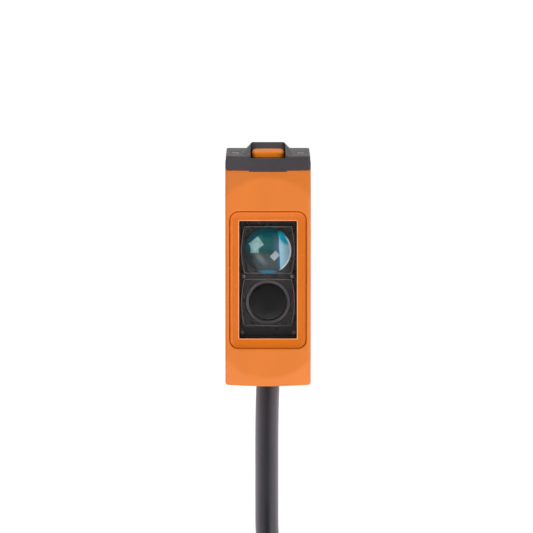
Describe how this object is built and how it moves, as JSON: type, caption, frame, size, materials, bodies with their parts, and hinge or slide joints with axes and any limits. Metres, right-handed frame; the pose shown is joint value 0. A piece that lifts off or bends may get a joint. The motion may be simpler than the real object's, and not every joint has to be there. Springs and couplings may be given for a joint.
{
  "type": "photoelectric sensor",
  "caption": "Slim rectangular photoelectric sensor: twin optics behind a front window, a guarded push button on its cap and a fixed round cable wound in a tied coil.",
  "frame": {"origin": "midway between the two side mounting holes, on the housing's middle plane", "axes": "+X along the mounting holes' axis, to the right as seen from the front; -Y out of the optical face; +Z towards the cap"},
  "size_m": [0.046, 0.0209, 0.107],
  "materials": {
    "orange_plastic": "fine moulded texture",
    "button_plastic": "satin",
    "cap_plastic": "fine moulded texture",
    "black_plastic": "satin",
    "clear_window": "polished",
    "coated_lens": "polished with a blue-green coating",
    "dark_filter": "polished",
    "light_guide": "smoky translucent",
    "rubber": "matt",
    "steel": "turned",
    "tinned": "tinned",
    "gold": "gold flash",
    "circuit_board": "solder resist",
    "chip": "matt",
    "ceramic": "fired",
    "led_amber": "clear resin",
    "led_green": "clear resin",
    "plunger_red": "satin",
    "cable_jacket": "satin",
    "tie": "nylon",
    "core_brown": "satin",
    "core_blue": "satin",
    "core_black": "satin"
  },
  "bodies": {
    "sensor": {"housing": "orange_plastic", "sleeve_upper": "steel", "sleeve_lower": "steel", "top_cap": "cap_plastic", "cap_gasket": "rubber", "button_membrane": "rubber", "light_guide_left": "light_guide", "light_guide_right": "light_guide", "front_window": "clear_window", "window_gasket": "rubber", "optic_carrier": "black_plastic", "upper_lens": "coated_lens", "aperture_ring": "black_plastic", "lower_filter": "dark_filter", "stake_pegs": "black_plastic", "photodiode": "chip", "emitter_led": "led_amber", "main_board": "circuit_board", "controller_chip": "chip", "chip_capacitors": "ceramic", "chip_resistors": "chip", "indicator_board": "circuit_board", "pin_header": "chip", "header_pins": "gold", "switch_body": "chip", "switch_cover": "steel", "yellow_led": "led_amber", "green_led": "led_green", "cable_grommet": "rubber", "cable_clamp": "steel", "inner_leads": "core_blue", "cable": "cable_jacket", "cable_coil": "cable_jacket", "tie_upper": "tie", "tie_lower": "tie", "core_brown": "core_brown", "core_blue": "core_blue", "core_black": "core_black", "core_tips": "tinned"},
    "button": {"push_button": "button_plastic"},
    "plunger": {"switch_plunger": "plunger_red"}
  },
  "joints": [
    {"name": "button_press", "type": "slide", "parent": "sensor", "child": "button", "axis": [0, 0, -1], "range_m": [0, 0.0004], "stiffness_N_per_m": 4000, "deforming": ["button_membrane"]},
    {"name": "plunger_press", "type": "slide", "parent": "sensor", "child": "plunger", "axis": [0, 0, -1], "range_m": [0, 0.0004]}
  ],
  "couplings": [
    {"joint": "plunger_press", "follows": "button_press", "ratio": 1}
  ]
}
